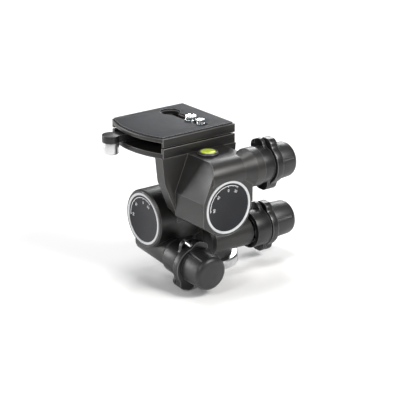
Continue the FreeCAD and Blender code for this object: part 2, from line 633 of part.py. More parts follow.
def tilt_housing():
    place, side = DRIVES["tilt"][:2]
    height = "tilt_axis_height"
    inner_face = "joint_face - joint_gap"
    body = rod("tilt_body", "x", "casing_radius", "dial_face", inner_face, "0", height)
    end = round_edge("x", value("dial_face"), value("casing_radius"))
    body = soften("tilt_body_edge", body, "casing_edge", end, "Chamfer")
    outside, bore = barrel("tilt_barrel", side, "barrel_front")
    outside = soften("tilt_barrel_edge", outside, "barrel_edge", round_rim, "Chamfer")
    eye = rod("tilt_eye", "y", "lug_radius", "lug_front", "lug_back", "roll_axis_x", "roll_axis_height")
    foot = prism("tilt_lug", "xz", [
        ("roll_axis_x - lug_foot_half", height), ("roll_axis_x + lug_foot_half - 5", height),
        ("roll_axis_x + lug_radius", "roll_axis_height"), ("roll_axis_x - lug_radius", "roll_axis_height"),
    ], "lug_front", "lug_back")
    cavity = rod("tilt_cavity", "x", "wheel_cavity", "dial_face", "dial_face + cavity_depth", "0", height)
    shaft_bore = rod("tilt_shaft_bore", "x", "shaft_radius + bush_wall", "dial_face", inner_face, "0", height)
    roll_seat = rod("tilt_roll_seat", "y", "shaft_radius", "lug_front", "lug_back", "roll_axis_x",
                    "roll_axis_height")
    swing = rod("tilt_lug_clear", "x", "casing_radius + free_gap", inner_face, "lug_radius", "0", height)
    lug = cut("tilt_lug_trimmed", join("tilt_lug_whole", eye, foot), swing)
    whole = join("tilt_whole", body, lug, in_frame("tilt_barrel_set", place, outside))
    keep("tilt_housing", cut("tilt_housing_piece", whole, cavity, shaft_bore, roll_seat,
                             in_frame("tilt_bore_set", place, bore)))
    outer, inner = "shaft_radius + bush_wall", "shaft_radius + running_gap"
    first = "dial_face + cavity_depth"
    keep("tilt_bushes", group("tilt_bush_pair", *[
        ring("tilt_bush%d" % i, "x", outer, inner, start, start + " + bush_length", "0", height)
        for i, start in enumerate((first, inner_face + " - bush_length"))]))


def roll_shaft():
    """Steel shaft fixed in the tilt housing's lug, with the wheel and nut that it carries."""
    a, b = "roll_axis_x", "roll_axis_height"
    stem = rod("roll_stem", "y", "shaft_radius", "roll_face + dial_thick", "lug_back", a, b)
    wheel_back = "roll_worm_y + wheel_width / 2"
    collar = rod("roll_collar", "y", "shaft_flange", wheel_back, wheel_back + " + 1.5", a, b)
    keep("roll_shaft", join("roll_shaft_piece", stem, collar))
    worm_wheel("roll_wheel", "shaft_radius", DRIVES["roll"][0])
    wheel_front = "roll_worm_y - wheel_width / 2"
    keep("roll_nut", ring("roll_nut_piece", "y", "nut_radius", "shaft_radius", wheel_front + " - nut_thick",
                          wheel_front, a, b))


def roll_housing():
    place, side = DRIVES["roll"][:2]
    a, b = "roll_axis_x", "roll_axis_height"
    body = rod("roll_body", "y", "casing_radius", "roll_face", "web_front", a, b)
    end = round_edge("y", value("roll_face"), value("casing_radius"))
    body = soften("roll_body_edge", body, "casing_edge", end, "Chamfer")
    left, right = "roll_axis_x - casing_radius", "roll_axis_x + casing_radius"
    block = box("roll_block", (left, "roll_face", b), (right, "web_front", "shelf_height"))
    top_front = top_front_edge(value("roll_face"), value("shelf_height"))
    block = soften("roll_block_round", block, "barrel_radius", top_front)
    cheek = prism("roll_cheek", "xz", [
        (left, b), (left, "cheek_height"), ("cheek_foot_x", "cheek_foot_height"), (a, b),
    ], "roll_face", "web_front")
    slope = prism("roll_slope", "xz", [
        (left + " - 5", "facet_height - 5 * (shelf_height - facet_height) / (casing_radius - facet_top_half)"),
        ("roll_axis_x - facet_top_half", "shelf_height"),
        ("roll_axis_x - facet_top_half", "shelf_height + 20"), (left + " - 5", "shelf_height + 20"),
    ], "roll_face - 20", "web_front")
    disc = rod("web_disc", "y", "casing_radius", "web_front", "web_back", a, b)
    web = prism("roll_web", "xz", [
        ("roll_axis_x - web_top_half", "shelf_height"), ("roll_axis_x - web_knee_half", "web_knee_height"),
        ("roll_axis_x - casing_radius", "web_tip_height"), ("roll_axis_x + casing_radius", "web_right_height"),
        ("roll_axis_x + web_knee_half", "web_knee_height"), ("roll_axis_x + web_top_half", "shelf_height"),
    ], "web_front", "web_back")
    outside, bore = barrel("roll_barrel", side, "roll_rest_start")
    sa, sb = sleeve_centre(side)
    flare = taper("roll_flare", "z", "barrel_radius", "roll_flare_radius", "roll_flare_start",
                  "roll_flare_end", sa, sb)
    mouth = rod("roll_mouth", "z", "roll_flare_radius", "roll_flare_end", "roll_rest_start", sa, sb)
    rough = join("roll_rough", block, in_frame("roll_barrel_set", place, join("roll_tube", outside, flare, mouth)))
    trimmed = cut("roll_trimmed", rough, slope)
    whole = join("roll_whole", trimmed, body, cheek, disc, web)
    cavity = rod("roll_cavity", "y", "wheel_cavity", "roll_face - 3", "roll_face + cavity_depth - 4", a, b)
    shaft_bore = rod("roll_shaft_bore", "y", "shaft_radius + bush_wall", "roll_face", "web_back", a, b)
    nest = rod("roll_nest", "z", "rest_spring_bore", "spring_start - spring_wire * 2", "roll_rest_start + 1",
               sa, sb)
    cup = rod("roll_cup_seat", "z", "level_vial", "level_seat - 3", "shelf_height", a, "level_y")
    keep("roll_housing", cut("roll_housing_piece", whole, cavity, shaft_bore, cup,
                             in_frame("roll_bore_set", place, join("roll_bores", bore, nest))))
    outer, inner = "shaft_radius + bush_wall", "shaft_radius + running_gap"
    starts = ("roll_face + cavity_depth - 4", "lug_front - bush_length")
    keep("roll_bushes", group("roll_bush_pair", *[
        ring("roll_bush%d" % i, "y", outer, inner, start, start + " + bush_length", a, b)
        for i, start in enumerate(starts)]))


def top_front_edge(front, top):
    along_x = straight_edge("x")
    def wanted(edge):
        middle = edge.CenterOfMass
        return along_x(edge) and abs(middle.y - front) < 0.01 and abs(middle.z - top) < 0.01
    return wanted


def level():
    a, b = "roll_axis_x", "level_y"
    seat = rod("level_base", "z", "level_cup", "shelf_height", "level_cup_top", a, b)
    rim = round_edge("z", value("level_cup_top"), value("level_cup"))
    seat = soften("level_rim", seat, "base_edge", rim, "Chamfer")
    hole = rod("level_hole", "z", "level_vial", "level_seat - 3", "level_cup_top", a, b)
    keep("level_cup", cut("level_cup_piece", seat, hole))
    vial = rod("level_glass", "z", "level_vial", "level_seat - 3", "level_vial_top", a, b)
    rim = round_edge("z", value("level_vial_top"), value("level_vial"))
    keep("level_vial", soften("level_dome", vial, "base_edge", rim, "Chamfer"))


def plate_blank(name, low, high, inset="0"):
    """The camera plate's outline: square, with one side bowed out."""
    left, right = "roll_axis_x - plate_half_x + " + inset, "roll_axis_x + plate_half_x - " + inset
    side = "plate_half_y - " + inset
    square = box(name + "_square", (left, "-(%s)" % side, low), (right, side, high))
    radius = "((plate_half_y * plate_half_y + plate_bulge * plate_bulge) / 2 / plate_bulge)"
    bow = rod(name + "_bow", "z", radius + " - " + inset, low, high,
              "roll_axis_x - plate_half_x - plate_bulge + " + radius, "0")
    reach = box(name + "_reach", ("roll_axis_x - plate_half_x * 2", "-(%s)" % side, low), (right, side, high))
    return overlap(name + "_outline", bow_or_square(name, square, bow), reach)


def bow_or_square(name, square, bow):
    left_part = box(name + "_left", ("roll_axis_x - plate_half_x * 2", "-plate_half_y * 2", "skirt_bottom - 50"),
                    ("roll_axis_x", "plate_half_y * 2", "pad_top + 50"))
    return join(name + "_both", square, overlap(name + "_bowed", bow, left_part))


def receiver_tray():
    floor = plate_blank("tray_floor_blank", "shelf_height", "tray_floor")
    outer_y = "plate_half_y"
    left, right = "roll_axis_x - plate_half_x", "roll_axis_x + plate_half_x"
    pieces = [floor]
    for number, sign in enumerate(("", "-")):
        low, high = ("plate_half_y - tray_wall", "plate_half_y")
        if sign:
            low, high = "-plate_half_y", "-(plate_half_y - tray_wall)"
        pieces.append(box("tray_wall%d" % number, (left, low, "tray_floor"), (right, high, "tray_wall_top")))
        low, high = ("ledge_half", "plate_half_y - tray_wall")
        if sign:
            low, high = "-(plate_half_y - tray_wall)", "-ledge_half"
        pieces.append(box("tray_ledge%d" % number, ("ledge_left", low, "tray_floor"),
                          ("roll_axis_x + plate_half_x - tray_wall", high, "ledge_top")))
    pieces.append(box("tray_end", (right + " - tray_wall", "-" + outer_y, "tray_floor"),
                      (right, outer_y, "tray_wall_top")))
    whole = join("tray_whole", *pieces)
    pin = rod("tray_pin_hole", "z", "lever_pin_radius", "shelf_height", "tray_floor", "lever_pivot_x", "0")
    keep("receiver_tray", cut("receiver_tray_piece", whole, pin))


def camera_plate():
    slab = plate_blank("plate_slab", "ledge_top", "plate_top")
    left, right = "roll_axis_x - plate_half_x", "roll_axis_x + plate_half_x"
    pieces = [slab]
    for number in range(2):
        low, high = "plate_half_y - skirt_thick", "plate_half_y"
        if number:
            low, high = "-plate_half_y", "-(plate_half_y - skirt_thick)"
        pieces.append(box("plate_skirt%d" % number, (left, low, "skirt_bottom"), (right, high, "ledge_top")))
    pieces.append(box("plate_end", (right + " - skirt_thick", "-plate_half_y", "skirt_bottom"),
                      (right, "plate_half_y", "ledge_top")))
    whole = join("plate_whole", *pieces)
    keep("camera_plate", cut("camera_plate_piece", whole, *slot("plate_slot", "0")))
    pad = plate_blank("pad_blank", "plate_top", "pad_top", "pad_inset")
    keep("plate_pad", cut("plate_pad_piece", pad, *slot("pad_slot", "1")))


def slot(name, margin):
    """The long slot with a round end, and the larger hole where the wide screw goes in."""
    half = "slot_half + " + margin
    low, high = "ledge_top - 1", "pad_top + 1"
    run = box(name + "_run", ("slot_x - (%s)" % half, "slot_near", low),
              ("slot_x + (%s)" % half, "slot_far", high))
    end = rod(name + "_end", "z", half, low, high, "slot_x", "slot_near")
    key = rod(name + "_key", "z", "key_radius + " + margin, low, high, "slot_x", "slot_far")
    return run, end, key


def camera_screw(label, thread, neck, head, y):
    """Camera screw whose neck runs in the plate's slot and whose head hangs below it."""
    top = "screw_top"
    collar = rod(label + "_head", "z", head, "head_bottom", "head_bottom + head_thick", "slot_x", y)
    stem = rod(label + "_neck", "z", neck, "head_bottom", top, "slot_x", y)
    screw = rod(label + "_thread", "z", thread, "pad_top + 0.1", top, "slot_x", y)
    tip = soften(label + "_tip", screw, "tip_bevel", round_edge("z", value(top), value(thread)), "Chamfer")
    coin = box(label + "_coin", ("slot_x - " + head, y + " - coin_slot / 2", "head_bottom"),
               ("slot_x + " + head, y + " + coin_slot / 2", "head_bottom + coin_slot"))
    keep(label, cut(label + "_piece", join(label + "_whole", collar, stem, tip), coin))


def lever():
    """Long flat lever under the plate, with a thick handle beyond the bowed side."""
    pivot = ("lever_pivot_x", "0")
    turn = Rotation(Z, value("lever_angle"))
    hub = rod("lever_boss", "z", "lever_hub", "lever_bottom", "lever_bottom + lever_thin", *pivot)
    arm = make("Box", "lever_arm", ("lever_pivot_x", "0", "lever_bottom"), turn,
               Length="lever_step + 8", Width="2 * lever_half", Height="lever_thin")
    handle = make("Box", "lever_handle", ("lever_pivot_x", "0", "lever_handle_bottom"), turn,
                  Length="lever_tip - lever_step", Width="2 * lever_half",
                  Height="lever_handle_top - lever_handle_bottom")
    side = turn.multVec(Vector(0, -1, 0))
    ahead = turn.multVec(Vector(1, 0, 0))
    for piece, start in ((arm, "0"), (handle, "lever_step")):
        piece.setExpression(".Placement.Base.x", rule(
            "lever_pivot_x + lever_half * %.6f + %s * %.6f" % (side.x, start, ahead.x)))
        piece.setExpression(".Placement.Base.y", rule(
            "lever_half * %.6f + %s * %.6f" % (side.y, start, ahead.y)))
    tip_x = "lever_pivot_x + lever_tip * %.6f" % ahead.x
    tip_y = "lever_tip * %.6f" % ahead.y
    tip = rod("lever_end", "z", "lever_tip_radius", "lever_handle_bottom", "lever_handle_top", tip_x, tip_y)
    whole = join("lever_whole", hub, arm, handle, tip)
    bore = rod("lever_bore", "z", "lever_pin_radius + running_gap", "lever_bottom",
               "lever_bottom + lever_thin", *pivot)
    stem_hole = rod("lever_stem_hole", "z", "plunger_stem + running_gap", "lever_handle_bottom",
                    "lever_handle_top - 1", tip_x, tip_y)
    keep("clamp_lever", cut("clamp_lever_piece", whole, bore, stem_hole))
    pin = rod("pivot_stem", "z", "lever_pin_radius", "shelf_height", "lever_bottom + lever_thin", *pivot)
    head = rod("pivot_head", "z", "lever_pin_radius + 2", "lever_bottom + lever_thin + 0.2",
               "lever_bottom + lever_thin + 1.4", *pivot)
    neck = rod("pivot_neck", "z", "lever_pin_radius - 1", "shelf_height", "lever_bottom + lever_thin + 1",
               *pivot)
    keep("lever_pin", join("lever_pin_piece", pin, head, neck))
    body = rod("plunger_body", "z", "plunger_radius", "plunger_bottom", "lever_handle_bottom - plunger_gap",
               tip_x, tip_y)
    foot = round_edge("z", value("plunger_bottom"), value("plunger_radius"))
    body = soften("plunger_edge", body, "plunger_round", foot, "Chamfer")
    stem = rod("plunger_stem_rod", "z", "plunger_stem", "lever_handle_bottom - plunger_gap - 1",
               "lever_handle_top - 1 - plunger_gap", tip_x, tip_y)
    keep("safety_plunger", join("safety_plunger_piece", body, stem))


def write_parts():
    doc.recompute()
    bad = [item.Name for item in doc.Objects if {"Invalid", "Error"} & set(item.State)]
    if bad:
        raise RuntimeError("these did not build: " + ", ".join(bad))
    os.makedirs("parts", exist_ok=True)
    for label, piece in NODES.items():
        shape = piece.Shape
        if shape.isNull() or not shape.isValid() or not shape.Solids:
            raise RuntimeError(label + " has no valid solid")
        shape.exportStep("parts/%s.step" % label)
        print("%-20s solids %d volume %.0f" % (label, len(shape.Solids), shape.Volume))


base_disc()
pan_column()
pan_housing()
tilt_shaft()
dial("tilt_dial", "x", "dial_face", "0", "tilt_axis_height")
tilt_housing()
roll_shaft()
dial("roll_dial", "y", "roll_face", "roll_axis_x", "roll_axis_height")
roll_housing()
level()
receiver_tray()
camera_plate()
camera_screw("large_screw", "large_thread", "large_neck", "large_head", "large_screw_y")
camera_screw("small_screw", "small_thread", "small_neck", "small_head", "small_screw_y")
lever()
for drive_name in DRIVES:
    drive(drive_name)
write_parts()
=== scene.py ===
import bpy
import json
import math
from mathutils import Matrix, Vector


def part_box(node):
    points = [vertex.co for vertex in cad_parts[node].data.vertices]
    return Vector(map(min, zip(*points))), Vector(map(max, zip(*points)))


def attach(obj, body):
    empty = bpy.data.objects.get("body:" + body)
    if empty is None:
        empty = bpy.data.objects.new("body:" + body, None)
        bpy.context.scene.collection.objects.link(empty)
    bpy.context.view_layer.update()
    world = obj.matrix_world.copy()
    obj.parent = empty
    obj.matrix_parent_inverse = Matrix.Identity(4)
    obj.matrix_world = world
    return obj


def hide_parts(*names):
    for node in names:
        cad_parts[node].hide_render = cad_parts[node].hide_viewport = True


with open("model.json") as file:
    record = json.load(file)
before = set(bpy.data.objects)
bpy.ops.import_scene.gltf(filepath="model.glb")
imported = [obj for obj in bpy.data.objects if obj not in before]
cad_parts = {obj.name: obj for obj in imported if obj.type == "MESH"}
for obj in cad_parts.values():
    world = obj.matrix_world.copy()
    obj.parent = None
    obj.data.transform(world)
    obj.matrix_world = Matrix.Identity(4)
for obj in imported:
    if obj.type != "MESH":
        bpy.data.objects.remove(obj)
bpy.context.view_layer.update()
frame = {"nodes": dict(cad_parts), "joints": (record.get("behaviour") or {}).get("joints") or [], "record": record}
nodes = frame["nodes"]
bodyOf = {node: body for body, members in frame["record"]["behaviour"]["bodies"].items() for node in members}
jointOf = {joint["name"]: joint for joint in frame["joints"]}
driveNames = ("pan", "tilt", "roll")
# lengths in settings are in millimetres, unless their comment says metres
mm = 0.001
print("stage: frame loaded,", len(nodes), "nodes")


def deselectAll():
    if bpy.context.object and bpy.context.object.mode != "OBJECT":
        bpy.ops.object.mode_set(mode="OBJECT")
    bpy.ops.object.select_all(action="DESELECT")


def pick(piece):
    deselectAll()
    piece.select_set(True)
    bpy.context.view_layer.objects.active = piece
    return piece


def added(name):
    piece = bpy.context.object
    piece.name = name
    piece.data.name = name
    return piece


def cadCopy(node, name):
    # a CAD node's mesh as a new piece; the node itself stays as it is
    piece = bpy.data.objects.new(name, nodes[node].data.copy())
    bpy.context.scene.collection.objects.link(piece)
    return piece


def bakePlace(piece, matrix=None):
    # puts the object's place into its mesh and leaves the object at the origin
    bpy.context.view_layer.update()
    place = piece.matrix_world.copy()
    if matrix is not None:
        place = matrix @ place
    piece.data.transform(place)
    piece.matrix_world = Matrix.Identity(4)
    piece.data.update()
    return piece


def editFacing(piece, way=(0, 0, 1)):
    # leaves the piece in edit mode, with only the faces that look this way selected
    almostAlong = 0.9
    pick(piece)
    bpy.ops.object.mode_set(mode="EDIT")
    bpy.ops.mesh.select_all(action="DESELECT")
    bpy.ops.object.mode_set(mode="OBJECT")
    for face in piece.data.polygons:
        face.select = face.normal.dot(Vector(way)) > almostAlong
    bpy.ops.object.mode_set(mode="EDIT")


def editMerged(piece, reach=0.01):
    # leaves the piece in edit mode, all selected, with its doubled points merged
    pick(piece)
    bpy.ops.object.mode_set(mode="EDIT")
    bpy.ops.mesh.select_all(action="SELECT")
    bpy.ops.mesh.remove_doubles(threshold=reach * mm)


def endEdit():
    bpy.ops.object.mode_set(mode="OBJECT")


def insetSteps(steps):
    # insets the selected face once for each step, inwards and along its normal
    for inset, rise in steps:
        bpy.ops.mesh.inset(thickness=inset * mm, depth=rise * mm)


def applyModifier(piece, kind, name, **values):
    pick(piece)
    modifier = piece.modifiers.new(name, kind)
    for key, value in values.items():
        setattr(modifier, key, value)
    bpy.ops.object.modifier_apply(modifier=name)
    return piece


def cutAway(piece, cutter):
    applyModifier(piece, "BOOLEAN", "cut", operation="DIFFERENCE", solver="EXACT", object=cutter)
    bpy.data.objects.remove(cutter)


def softenEdges(piece, width, segments, angle, edgeSlot=-1):
    # edgeSlot is the material slot of the new edge faces, or -1 to take their neighbours'
    applyModifier(piece, "BEVEL", "edge", width=width * mm, segments=segments, limit_method="ANGLE",
                  angle_limit=math.radians(angle), use_clamp_overlap=True, material=edgeSlot)
    return piece


def smooth(piece, angle):
    pick(piece)
    bpy.ops.object.shade_smooth_by_angle(angle=math.radians(angle))
    return piece


def joinAll(name, pieces):
    deselectAll()
    for piece in pieces:
        piece.select_set(True)
    bpy.context.view_layer.objects.active = pieces[0]
    bpy.ops.object.join()
    return added(name)


def setMaterial(piece, material):
    piece.data.materials.clear()
    piece.data.materials.append(material)
    return piece


def fit(piece, body, slot, *replaced):
    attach(piece, body)
    if replaced:
        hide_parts(*replaced)
    return piece


surfaceSettings = {
    # scales of the tint and of the sheen map, how far the roughness wanders, strength of the relief;
    # heights are in metres
    "coated": {"tint": 55, "sheen": 160, "smoother": 0.05, "rougher": 0.06, "relief": 0.5},
    "metal": {"tint": 240, "sheen": 400, "smoother": 0.06, "rougher": 0.08, "relief": 0.35},
    "turned": {"tint": 180, "sheen": 300, "smoother": 0.05, "rougher": 0.08, "relief": 0.3},
    "metalGrain": 900, "metalGrainHeight": 0.00002,
    "turnedHeight": 0.00003, "turnedWander": 0.4,
    "tintStops": (0.35, 0.68),
}
edgeHighlightSettings = {
    # reach of the painted edge highlight in metres; starts and full are cosines of the edge's turn
    "reach": 0.0005, "samples": 6, "starts": 0.985, "full": 0.925,
    "darkBelow": 0.1, "gain": 9, "lift": 0.06, "palest": 0.26,
}
coatSettings = {
    # dark and light colour, roughness, scale of the grain, its height in metres, specular level
    "blackCoat": ((0.0078, 0.0072, 0.0068), (0.0120, 0.0110, 0.0104), 0.41, 2600, 0.00006, 0.62),
    # the edge finishes are painted highlights: lighter colours for the bevelled edge faces
    "edgeHighlightCoat": ((0.075, 0.070, 0.066), (0.120, 0.113, 0.107), 0.30, 2600, 0.00006, 0.9),
    "plateCoat": ((0.0085, 0.0080, 0.0077), (0.0130, 0.0122, 0.0117), 0.42, 2600, 0.00006, 0.5),
    "moulded": ((0.0068, 0.0068, 0.0072), (0.0105, 0.0105, 0.0110), 0.36, 1800, 0.00003, 0.5),
    "edgeHighlightPlastic": ((0.030, 0.030, 0.031), (0.046, 0.046, 0.047), 0.30, 1800, 0.00002, 0.8),
    "gripRubber": ((0.0070, 0.0070, 0.0078), (0.0105, 0.0105, 0.0116), 0.42, 3200, 0.00007, 0.6),
    "padRubber": ((0.0145, 0.0160, 0.0200), (0.0215, 0.0230, 0.0280), 0.66, 2400, 0.00012, 0.3),
    "dialFace": ((0.0085, 0.0090, 0.0120), (0.0120, 0.0128, 0.0165), 0.40, 3000, 0.00002, 0.25),
    "whiteRing": ((0.50, 0.51, 0.53), (0.60, 0.61, 0.62), 0.34, 2000, 0.00002, 0.5),
    "printWhite": ((0.68, 0.68, 0.68), (0.78, 0.78, 0.78), 0.5, 2600, 0.00001, 0.5),
}
metalSettings = {
    # dark and light colour, roughness
    "steel": ((0.50, 0.50, 0.51), (0.62, 0.62, 0.62), 0.26),
    "screwSteel": ((0.58, 0.62, 0.64), (0.76, 0.79, 0.80), 0.22),
    "springSteel": ((0.36, 0.36, 0.37), (0.46, 0.46, 0.47), 0.34),
    "bronze": ((0.50, 0.33, 0.14), (0.64, 0.45, 0.20), 0.33),
}
turnedSettings = {
    # dark and light colour, roughness, scale of the rings
    "brightAluminium": ((0.60, 0.60, 0.61), (0.72, 0.72, 0.73), 0.30, 420),
}
fluidSettings = {
    # colour, dark and light tint, roughness, clear coat, scale of the tint
    "levelGlass": ((0.42, 0.50, 0.03), (0.36, 0.45, 0.02), (0.50, 0.60, 0.06), 0.12, 0.8, 320),
    "bubbleClear": ((0.86, 0.93, 0.45), (0.80, 0.90, 0.38), (0.90, 0.96, 0.55), 0.08, 0.6, 900),
}
# painted light: the level's fluid glows a little, though it is no lamp
paintedLevelGlow = {"color": (0.62, 0.74, 0.06), "strength": 0.1}


def newMaterial(name, color, roughness, metallic=0.0, coat=0.0, specular=0.5):
    material = bpy.data.materials.new(name)
    material.use_nodes = True
    shader = material.node_tree.nodes["Principled BSDF"]
    shader.inputs["Base Color"].default_value = (*color, 1)
    shader.inputs["Roughness"].default_value = roughness
    shader.inputs["Metallic"].default_value = metallic
    shader.inputs["Coat Weight"].default_value = coat
    shader.inputs["Specular IOR Level"].default_value = specular
    return material, shader


def addNode(material, kind, **values):
    node = material.node_tree.nodes.new(kind)
    for key, value in values.items():
        node.inputs[key.replace("_", " ")].default_value = value
    return node


def link(material, start, end):
    material.node_tree.links.new(start, end)


def noiseOn(material, scale, detail):
    place = addNode(material, "ShaderNodeTexCoord")
    noise = addNode(material, "ShaderNodeTexNoise", Scale=scale, Detail=detail)
    link(material, place.outputs["Object"], noise.inputs["Vector"])
    return noise


def addGrain(material, shader, scale, height, strength):
    # fine relief, such as a powder coat's texture
    noise = noiseOn(material, scale, 3)
    bump = addNode(material, "ShaderNodeBump", Strength=strength, Distance=height)
    link(material, noise.outputs["Fac"], bump.inputs["Height"])
    link(material, bump.outputs["Normal"], shader.inputs["Normal"])


def addTint(material, shader, scale, low, high):
    # slow change of colour over the surface
    noise = noiseOn(material, scale, 5)
    ramp = addNode(material, "ShaderNodeValToRGB")
    for stop, position, color in zip(ramp.color_ramp.elements, surfaceSettings["tintStops"], (low, high)):
        stop.position = position
        stop.color = (*color, 1)
    link(material, noise.outputs["Fac"], ramp.inputs["Fac"])
    link(material, ramp.outputs["Color"], shader.inputs["Base Color"])


def addSheenMap(material, shader, scale, low, high):
    # roughness that changes a little from place to place
    noise = noiseOn(material, scale, 4)
    spread = addNode(material, "ShaderNodeMapRange", To_Min=low, To_Max=high)
    link(material, noise.outputs["Fac"], spread.inputs["Value"])
    link(material, spread.outputs["Result"], shader.inputs["Roughness"])


def addPaintedEdgeHighlight(material, shader, high):
    # painted highlight: edges made lighter, found where the rounded normal leaves the face's own
    w = edgeHighlightSettings
    paintedHighlight = [min(value * w["gain"] + w["lift"], w["palest"]) for value in high]
    rounded = addNode(material, "ShaderNodeBevel", Radius=w["reach"])
    rounded.samples = w["samples"]
    surface = addNode(material, "ShaderNodeNewGeometry")
    compare = addNode(material, "ShaderNodeVectorMath")
    compare.operation = "DOT_PRODUCT"
    link(material, rounded.outputs["Normal"], compare.inputs[0])
    link(material, surface.outputs["True Normal"], compare.inputs[1])
    spread = addNode(material, "ShaderNodeMapRange", From_Min=w["starts"], From_Max=w["full"])
    link(material, compare.outputs["Value"], spread.inputs["Value"])
    blend = addNode(material, "ShaderNodeMixRGB", Color2=(*paintedHighlight, 1))
    link(material, spread.outputs["Result"], blend.inputs["Fac"])
    link(material, shader.inputs["Base Color"].links[0].from_socket, blend.inputs["Color1"])
    link(material, blend.outputs["Color"], shader.inputs["Base Color"])


def coated(name, low, high, roughness, grain, height, specular):
    # powder coat, moulded plastic, rubber and print; only the dark ones get a painted highlight along their edges
    s = surfaceSettings["coated"]
    material, shader = newMaterial(name, low, roughness, specular=specular)
    addTint(material, shader, s["tint"], low, high)
    if max(high) < edgeHighlightSettings["darkBelow"]:
        addPaintedEdgeHighlight(material, shader, high)
    addGrain(material, shader, grain, height, s["relief"])
    addSheenMap(material, shader, s["sheen"], roughness - s["smoother"], roughness + s["rougher"])
    return material


def metal(name, low, high, roughness):
    s = surfaceSettings["metal"]
    material, shader = newMaterial(name, low, roughness, metallic=1.0)
    addTint(material, shader, s["tint"], low, high)
    addGrain(material, shader, surfaceSettings["metalGrain"], surfaceSettings["metalGrainHeight"],
             s["relief"])
    addSheenMap(material, shader, s["sheen"], roughness - s["smoother"], roughness + s["rougher"])
    return material


def turned(name, low, high, roughness, ringScale):
    # rings left by a lathe, round the Z axis
    s = surfaceSettings["turned"]
    material, shader = newMaterial(name, low, roughness, metallic=1.0)
    addTint(material, shader, s["tint"], low, high)
    place = addNode(material, "ShaderNodeTexCoord")
    rings = addNode(material, "ShaderNodeTexWave", Scale=ringScale,
                    Distortion=surfaceSettings["turnedWander"])
    rings.wave_type = "RINGS"
    rings.rings_direction = "Z"
    bump = addNode(material, "ShaderNodeBump", Strength=s["relief"], Distance=surfaceSettings["turnedHeight"])
    link(material, place.outputs["Object"], rings.inputs["Vector"])
    link(material, rings.outputs["Fac"], bump.inputs["Height"])
    link(material, bump.outputs["Normal"], shader.inputs["Normal"])
    addSheenMap(material, shader, s["sheen"], roughness - s["smoother"], roughness + s["rougher"])
    return material


def fluid(name, color, low, high, roughness, coat, tintScale):
    material, shader = newMaterial(name, color, roughness, coat=coat)
    addTint(material, shader, tintScale, low, high)
    if name == "levelGlass":
        # the fluid glows a little: painted light, not a lamp
        shader.inputs["Emission Color"].default_value = (*paintedLevelGlow["color"], 1)
        shader.inputs["Emission Strength"].default_value = paintedLevelGlow["strength"]
    return material


finishes = {name: coated(name, *values) for name, values in coatSettings.items()}
finishes.update({name: metal(name, *values) for name, values in metalSettings.items()})
finishes.update({name: turned(name, *values) for name, values in turnedSettings.items()})
finishes.update({name: fluid(name, *values) for name, values in fluidSettings.items()})
print("stage: materials made,", len(finishes))


edgeSettings = {
    # node: finish, finish of its edges (a painted highlight where it is lighter than the finish), bevel width,
    # least angle of a bevelled edge, record slot
    "pan_housing": ("blackCoat", "edgeHighlightCoat", 0.55, 17, "black_coat"),
    "tilt_housing": ("blackCoat", "edgeHighlightCoat", 0.55, 17, "black_coat"),
    "roll_housing": ("blackCoat", "edgeHighlightCoat", 0.55, 14, "black_coat"),
    "receiver_tray": ("plateCoat", "edgeHighlightCoat", 0.45, 25, "black_coat"),
    "camera_plate": ("plateCoat", "edgeHighlightCoat", 0.45, 25, "black_coat"),
    "plate_pad": ("padRubber", "padRubber", 0.3, 25, "pad_rubber"),
    "pan_boss_cap": ("moulded", "moulded", 0.4, 25, "black_plastic"),
    "clamp_lever": ("moulded", "edgeHighlightPlastic", 0.9, 25, "black_plastic"),
    "safety_plunger": ("brightAluminium", "brightAluminium", 0.4, 25, "steel"),
    "base_disc": ("brightAluminium", "brightAluminium", 0.25, 25, "bright_aluminium"),
    "level_cup": ("blackCoat", "edgeHighlightCoat", 0.3, 25, "black_coat"),
}
for driveName in driveNames:
    edgeSettings[driveName + "_wing"] = ("moulded", "edgeHighlightPlastic", 1.2, 25, "black_coat")
    edgeSettings[driveName + "_finger_rest"] = ("moulded", "edgeHighlightPlastic", 0.7, 25, "black_coat")
copySettings = {"flatWithin": 0.6, "edgeSegments": 3}


def pieceName(node):
    words = node.split("_")
    return words[0] + "".join(word.capitalize() for word in words[1:])


def softenedCopy(node, finish, edgeHighlightFinish, width, angle, slot):
    piece = cadCopy(node, pieceName(node))
    editMerged(piece)
    bpy.ops.mesh.dissolve_limited(angle_limit=math.radians(copySettings["flatWithin"]))
    endEdit()
    setMaterial(piece, finishes[finish])
    # the bevel's new faces take the edge finish, a painted highlight where it is lighter
    piece.data.materials.append(finishes[edgeHighlightFinish])
    softenEdges(piece, width, copySettings["edgeSegments"], angle, edgeSlot=1)
    smooth(piece, angle)
    fit(piece, bodyOf[node], slot, node)


for node, settings in edgeSettings.items():
    softenedCopy(node, *settings)
print("stage: casings, wings and plate softened")


knobSettings = {
    "radius": 15.4, "endRadius": 14.6, "endRound": 4.6, "crown": 1.3, "sides": 96,
    "roundSteps": 8, "crownSteps": 5, "edge": 0.3, "edgeSegments": 2, "edgeAngle": 40,
    "grooves": 4, "grooveRadius": 1.15, "grooveLength": 17.0, "grooveSink": 0.15,
    "grooveLead": 1.0, "grooveSides": 24,
    "grooveTurns": {"pan": 70, "tilt": 35, "roll": 70},
    "starts": {"pan": 50.6, "tilt": 52.4, "roll": 53.0},
    "lengths": {"pan": 23.4, "tilt": 22.6, "roll": 19.5},
    "across": {"pan": (0, 1, 0), "tilt": None, "roll": (0, 0, -1)},  # tilt's is square to its sloping worm
}


def driveMatrix(name):
    # local Z runs out along the worm, as the knob's joint says
    joint = jointOf[name + "_knob_turn"]
    out = Vector(joint["axis"]).normalized()
    across = knobSettings["across"][name]
    across = Vector(across) if across else Vector((0, out.z, -out.y))
    side = out.cross(across)
    turn = Matrix((across, side, out)).transposed().to_4x4()
    return Matrix.Translation(Vector(joint["pos_m"])) @ turn


